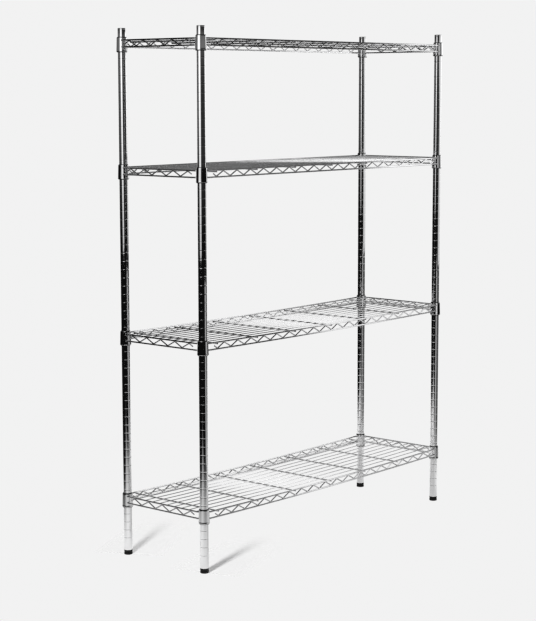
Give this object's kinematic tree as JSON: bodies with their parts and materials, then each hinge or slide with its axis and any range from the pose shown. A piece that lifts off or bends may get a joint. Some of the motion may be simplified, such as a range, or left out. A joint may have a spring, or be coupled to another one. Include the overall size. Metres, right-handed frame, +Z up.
{
  "type": "wire shelving unit",
  "caption": "Free-standing wire shelving unit: wire shelves with zigzag sides held by tapered split sleeves on grooved tube posts with levelling feet.",
  "frame": {"origin": "centre of the footprint on the floor, under the foot pads", "axes": "+Z up along the posts, X along the long side of the shelves, -Y the front"},
  "size_m": [1.2204, 0.3574, 1.62],
  "materials": {
    "post": "bright plated, polished",
    "wire": "bright plated wire",
    "cap": "bright plated, softly domed",
    "sleeve": "satin moulded",
    "plug": "satin moulded",
    "pad": "matt moulded",
    "stud": "zinc plated"
  },
  "bodies": {
    "posts": {"post_fl": "post", "cap_fl": "cap", "plug_fl": "plug", "post_fr": "post", "cap_fr": "cap", "plug_fr": "plug", "post_bl": "post", "cap_bl": "cap", "plug_bl": "plug", "post_br": "post", "cap_br": "cap", "plug_br": "plug", "sleeve_1_fl_a": "sleeve", "sleeve_1_fl_b": "sleeve", "sleeve_1_fr_a": "sleeve", "sleeve_1_fr_b": "sleeve", "sleeve_1_bl_a": "sleeve", "sleeve_1_bl_b": "sleeve", "sleeve_1_br_a": "sleeve", "sleeve_1_br_b": "sleeve", "sleeve_2_fl_a": "sleeve", "sleeve_2_fl_b": "sleeve", "sleeve_2_fr_a": "sleeve", "sleeve_2_fr_b": "sleeve", "sleeve_2_bl_a": "sleeve", "sleeve_2_bl_b": "sleeve", "sleeve_2_br_a": "sleeve", "sleeve_2_br_b": "sleeve", "sleeve_3_fl_a": "sleeve", "sleeve_3_fl_b": "sleeve", "sleeve_3_fr_a": "sleeve", "sleeve_3_fr_b": "sleeve", "sleeve_3_bl_a": "sleeve", "sleeve_3_bl_b": "sleeve", "sleeve_3_br_a": "sleeve", "sleeve_3_br_b": "sleeve", "sleeve_4_fl_a": "sleeve", "sleeve_4_fl_b": "sleeve", "sleeve_4_fr_a": "sleeve", "sleeve_4_fr_b": "sleeve", "sleeve_4_bl_a": "sleeve", "sleeve_4_bl_b": "sleeve", "sleeve_4_br_a": "sleeve", "sleeve_4_br_b": "sleeve"},
    "shelf_1": {"shelf_1": "wire"},
    "shelf_2": {"shelf_2": "wire"},
    "shelf_3": {"shelf_3": "wire"},
    "shelf_4": {"shelf_4": "wire"},
    "foot_fl": {"pad_fl": "pad"},
    "screw_fl": {"stud_fl": "stud"},
    "foot_fr": {"pad_fr": "pad"},
    "screw_fr": {"stud_fr": "stud"},
    "foot_bl": {"pad_bl": "pad"},
    "screw_bl": {"stud_bl": "stud"},
    "foot_br": {"pad_br": "pad"},
    "screw_br": {"stud_br": "stud"}
  },
  "joints": [
    {"name": "shelf_1_lift", "type": "slide", "parent": "posts", "child": "shelf_1", "axis": [0, 0, 1], "range_m": [0, 0.44]},
    {"name": "shelf_2_lift", "type": "slide", "parent": "posts", "child": "shelf_2", "axis": [0, 0, 1], "range_m": [0, 0.44]},
    {"name": "shelf_3_lift", "type": "slide", "parent": "posts", "child": "shelf_3", "axis": [0, 0, 1], "range_m": [0, 0.32]},
    {"name": "shelf_4_lift", "type": "slide", "parent": "posts", "child": "shelf_4", "axis": [0, 0, 1], "range_m": [0, 0.06]},
    {"name": "foot_fl_extend", "type": "slide", "parent": "posts", "child": "foot_fl", "axis": [0, 0, -1], "range_m": [0, 0.0125]},
    {"name": "screw_fl_turn", "type": "hinge", "parent": "foot_fl", "child": "screw_fl", "pos_m": [-0.593, -0.1615, 0.02], "axis": [0, 0, -1], "range_deg": [0, 2875]},
    {"name": "foot_fr_extend", "type": "slide", "parent": "posts", "child": "foot_fr", "axis": [0, 0, -1], "range_m": [0, 0.0125]},
    {"name": "screw_fr_turn", "type": "hinge", "parent": "foot_fr", "child": "screw_fr", "pos_m": [0.593, -0.1615, 0.02], "axis": [0, 0, -1], "range_deg": [0, 2875]},
    {"name": "foot_bl_extend", "type": "slide", "parent": "posts", "child": "foot_bl", "axis": [0, 0, -1], "range_m": [0, 0.0125]},
    {"name": "screw_bl_turn", "type": "hinge", "parent": "foot_bl", "child": "screw_bl", "pos_m": [-0.593, 0.1615, 0.02], "axis": [0, 0, -1], "range_deg": [0, 2875]},
    {"name": "foot_br_extend", "type": "slide", "parent": "posts", "child": "foot_br", "axis": [0, 0, -1], "range_m": [0, 0.0125]},
    {"name": "screw_br_turn", "type": "hinge", "parent": "foot_br", "child": "screw_br", "pos_m": [0.593, 0.1615, 0.02], "axis": [0, 0, -1], "range_deg": [0, 2875]}
  ],
  "couplings": [
    {"joint": "foot_fl_extend", "follows": "screw_fl_turn", "m_per_rad": 0.00023873},
    {"joint": "foot_fr_extend", "follows": "screw_fr_turn", "m_per_rad": 0.00023873},
    {"joint": "foot_bl_extend", "follows": "screw_bl_turn", "m_per_rad": 0.00023873},
    {"joint": "foot_br_extend", "follows": "screw_br_turn", "m_per_rad": 0.00023873}
  ]
}
